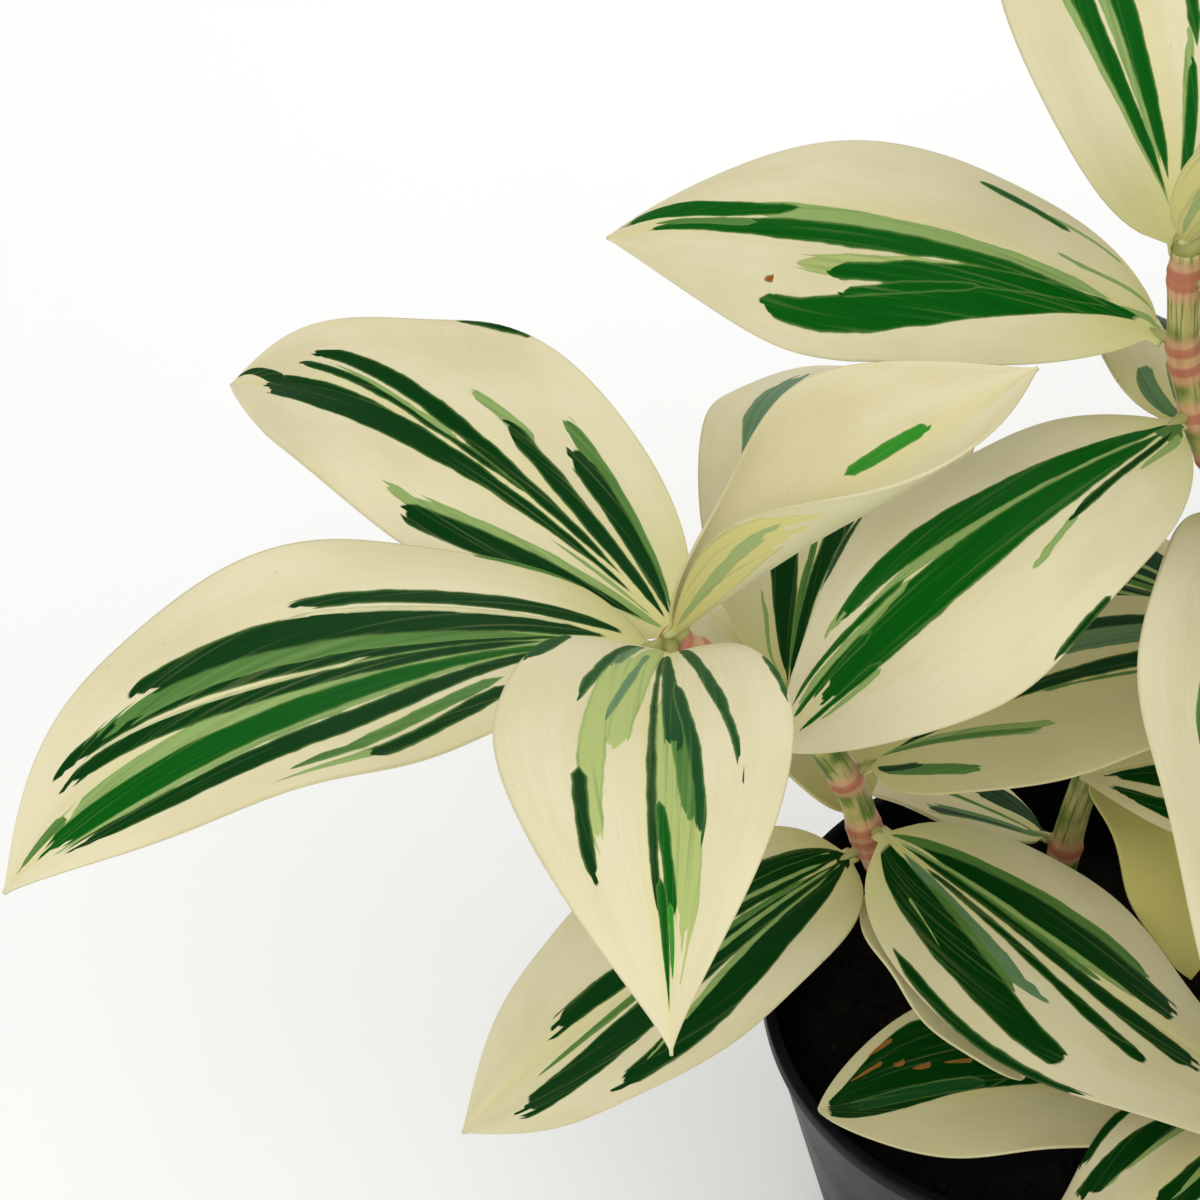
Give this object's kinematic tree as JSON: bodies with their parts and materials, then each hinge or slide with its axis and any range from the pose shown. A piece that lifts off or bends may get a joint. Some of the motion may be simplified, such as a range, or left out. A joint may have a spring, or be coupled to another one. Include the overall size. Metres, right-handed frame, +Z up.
{
  "type": "potted variegated spiral ginger plant",
  "caption": "Potted leafy plant with upright stems and cream and green striped leaves in a round black nursery pot filled with soil.",
  "frame": {"origin": "centre of the pot's flat underside", "axes": "+Z up along the pot's axis, -Y towards the viewer of the picture, +X to the viewer's right"},
  "size_m": [0.4901, 0.3788, 0.4135],
  "materials": {
    "pot": "satin",
    "soil": "matte",
    "stem": "satin",
    "leaf": "satin"
  },
  "bodies": {
    "root": {"pot": "pot", "soil": "soil", "stem_front_left": "stem", "leaf_front_left_1": "leaf", "leaf_front_left_2": "leaf", "leaf_front_left_3": "leaf", "leaf_front_left_4": "leaf", "leaf_front_left_5": "leaf", "leaf_front_left_6": "leaf", "leaf_front_left_7": "leaf", "leaf_front_left_8": "leaf", "leaf_front_left_9": "leaf", "leaf_front_left_10": "leaf", "stem_tall": "stem", "leaf_tall_1": "leaf", "leaf_tall_2": "leaf", "leaf_tall_3": "leaf", "leaf_tall_4": "leaf", "leaf_tall_5": "leaf", "leaf_tall_6": "leaf", "leaf_tall_7": "leaf", "leaf_tall_8": "leaf", "leaf_tall_9": "leaf", "leaf_tall_10": "leaf", "leaf_tall_11": "leaf", "stem_front_right": "stem", "leaf_front_right_1": "leaf", "leaf_front_right_2": "leaf", "leaf_front_right_3": "leaf", "leaf_front_right_4": "leaf", "leaf_front_right_5": "leaf", "leaf_front_right_6": "leaf", "leaf_front_right_7": "leaf", "leaf_front_right_8": "leaf", "stem_back_right": "stem", "leaf_back_right_1": "leaf", "leaf_back_right_2": "leaf", "leaf_back_right_3": "leaf", "leaf_back_right_4": "leaf", "leaf_back_right_5": "leaf", "leaf_back_right_6": "leaf", "leaf_back_right_7": "leaf", "leaf_back_right_8": "leaf", "stem_young": "stem", "leaf_young_1": "leaf", "leaf_young_2": "leaf", "leaf_young_3": "leaf"}
  },
  "joints": []
}
